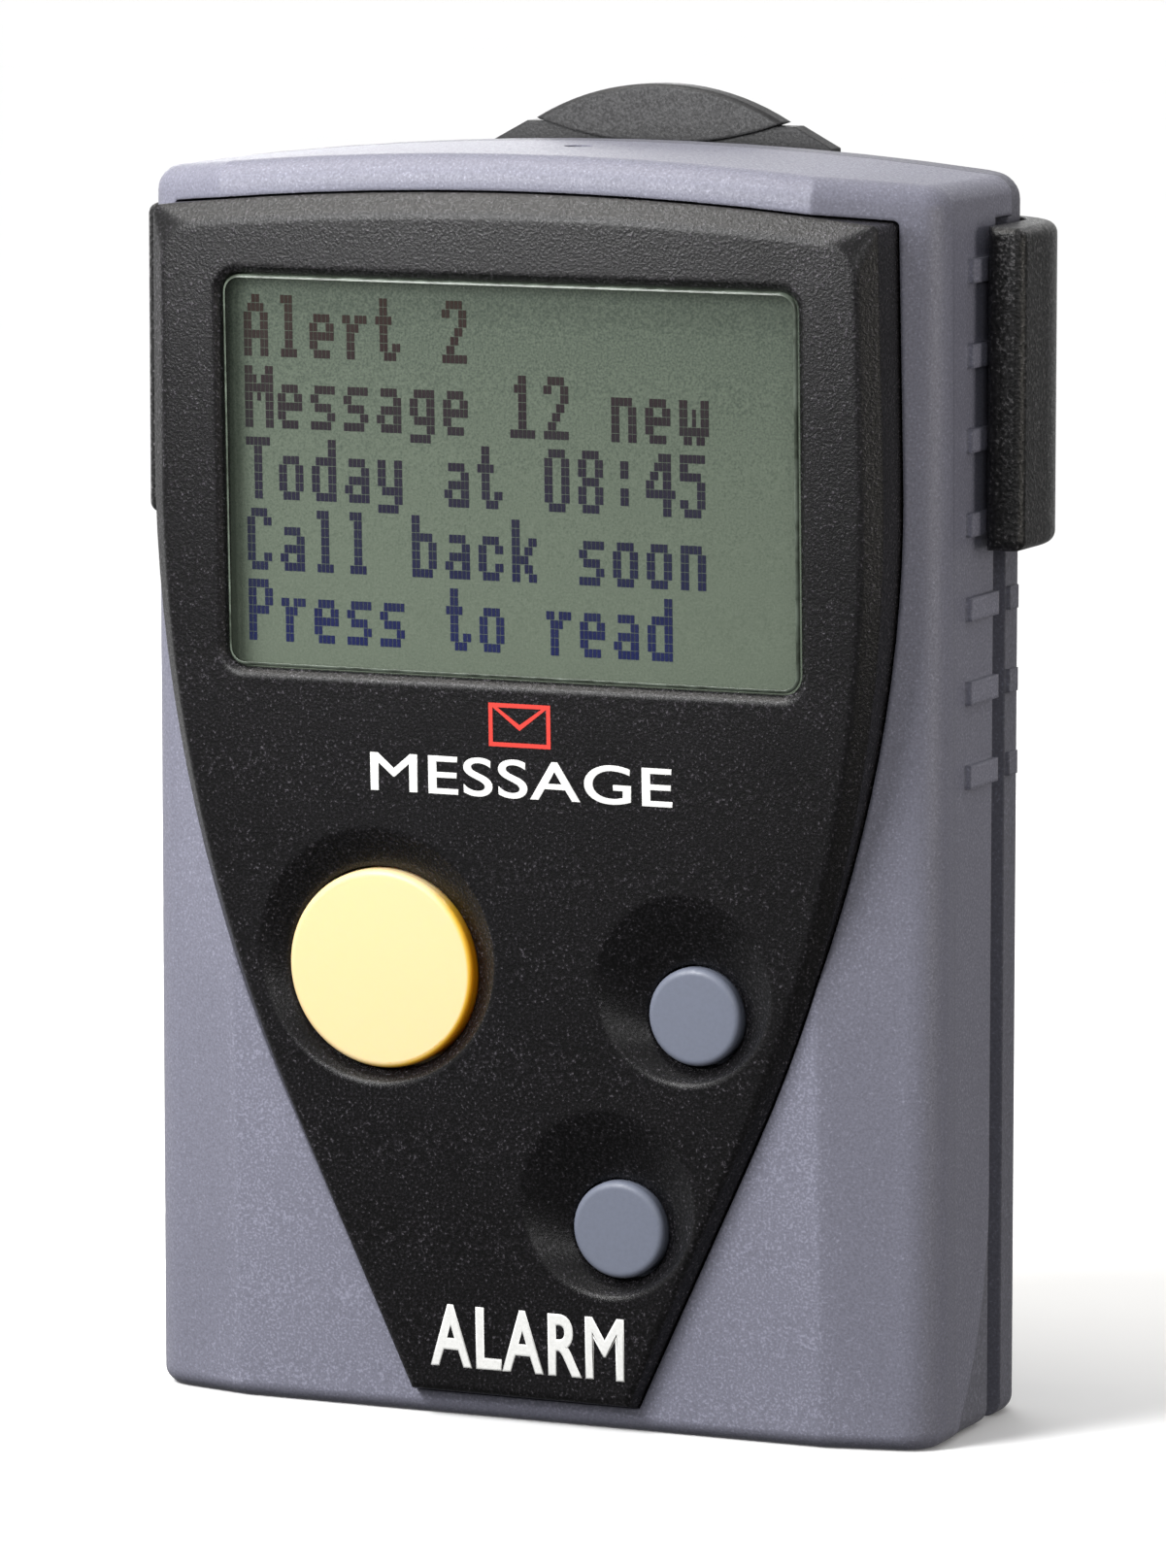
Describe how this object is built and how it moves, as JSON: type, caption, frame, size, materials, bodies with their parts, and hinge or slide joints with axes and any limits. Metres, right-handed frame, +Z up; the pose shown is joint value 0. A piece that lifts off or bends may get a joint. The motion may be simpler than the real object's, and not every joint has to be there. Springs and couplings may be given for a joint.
{
  "type": "pager",
  "caption": "Message pager with a dot-matrix display and round keys of differing size, in a belt holder with side arms and a sprung clip.",
  "frame": {"origin": "middle of the footprint's box at the height of the flat bottom", "axes": "+Z up, the display faces -Y, the belt clip is on +Y, +X is to the right of someone reading the display"},
  "size_m": [0.0658, 0.0318, 0.0912],
  "materials": {
    "front_gray": "fine moulded grain, satin",
    "rear_gray": "fine moulded grain, satin",
    "mask_black": "fine sparkling grain, satin",
    "clear_lens": "clear, polished",
    "display_glass": "reflective gray-green liquid crystal",
    "diffuser_white": "milky",
    "frame_white": "moulded",
    "key_yellow": "translucent, satin",
    "key_gray": "satin",
    "dark_rubber": "matte",
    "silicone_gray": "matte",
    "board_green": "solder mask",
    "steel": "brushed",
    "tin_plate": "pressed, dull",
    "chip_black": "moulded",
    "ferrite_gray": "sintered",
    "copper_wire": "enamelled",
    "gilt": "plated",
    "cell_jacket": "shrink sleeve",
    "clip_black": "pebbled grain"
  },
  "bodies": {
    "pager": {"front_shell": "front_gray", "rear_shell": "rear_gray", "housing_screws": "steel", "front_mask": "mask_black", "display_lens": "clear_lens", "lcd_glass": "display_glass", "light_guide": "diffuser_white", "lcd_frame": "frame_white", "zebra_strip": "dark_rubber", "keypad_mat": "silicone_gray", "alarm_switch": "tin_plate", "upper_switch": "tin_plate", "lower_switch": "tin_plate", "main_board": "board_green", "shield_can": "tin_plate", "decoder_chip": "chip_black", "memory_chip": "chip_black", "crystal": "tin_plate", "ferrite_antenna": "ferrite_gray", "antenna_winding": "copper_wire", "motor_can": "steel", "sounder": "chip_black", "battery_cell": "cell_jacket", "contact_plate": "gilt", "contact_spring": "gilt", "charge_contacts": "gilt"},
    "alarm_key": {"alarm_key": "key_yellow"},
    "upper_key": {"upper_key": "key_gray"},
    "lower_key": {"lower_key": "key_gray"},
    "motor_weight": {"motor_weight": "steel"},
    "battery_door": {"battery_door": "rear_gray"},
    "holder": {"holder_frame": "clip_black", "lever_pin": "steel", "lever_spring": "steel"},
    "belt_lever": {"belt_lever": "clip_black"}
  },
  "joints": [
    {"name": "alarm_press", "type": "slide", "parent": "pager", "child": "alarm_key", "axis": [0, 0.9995, 0.031], "range_m": [0, 0.0006], "stiffness_N_per_m": 1200},
    {"name": "upper_press", "type": "slide", "parent": "pager", "child": "upper_key", "axis": [0, 0.9995, 0.031], "range_m": [0, 0.0006], "stiffness_N_per_m": 900},
    {"name": "lower_press", "type": "slide", "parent": "pager", "child": "lower_key", "axis": [0, 0.9995, 0.031], "range_m": [0, 0.0006], "stiffness_N_per_m": 900},
    {"name": "motor_spin", "type": "hinge", "parent": "pager", "child": "motor_weight", "pos_m": [0.012, -0.00215, 0.037], "axis": [1, 0, 0], "continuous": true},
    {"name": "door_slide", "type": "slide", "parent": "pager", "child": "battery_door", "axis": [0, 0, -1], "range_m": [0, 0.019]},
    {"name": "holder_slide", "type": "slide", "parent": "pager", "child": "holder", "axis": [0, 0, -1], "range_m": [0, 0.07]},
    {"name": "clip_pivot", "type": "hinge", "parent": "holder", "child": "belt_lever", "pos_m": [0, 0.0122, 0.07], "axis": [1, 0, 0], "range_deg": [0, 7.5], "stiffness_Nm_per_rad": 0.35, "springref_deg": -11.46}
  ]
}
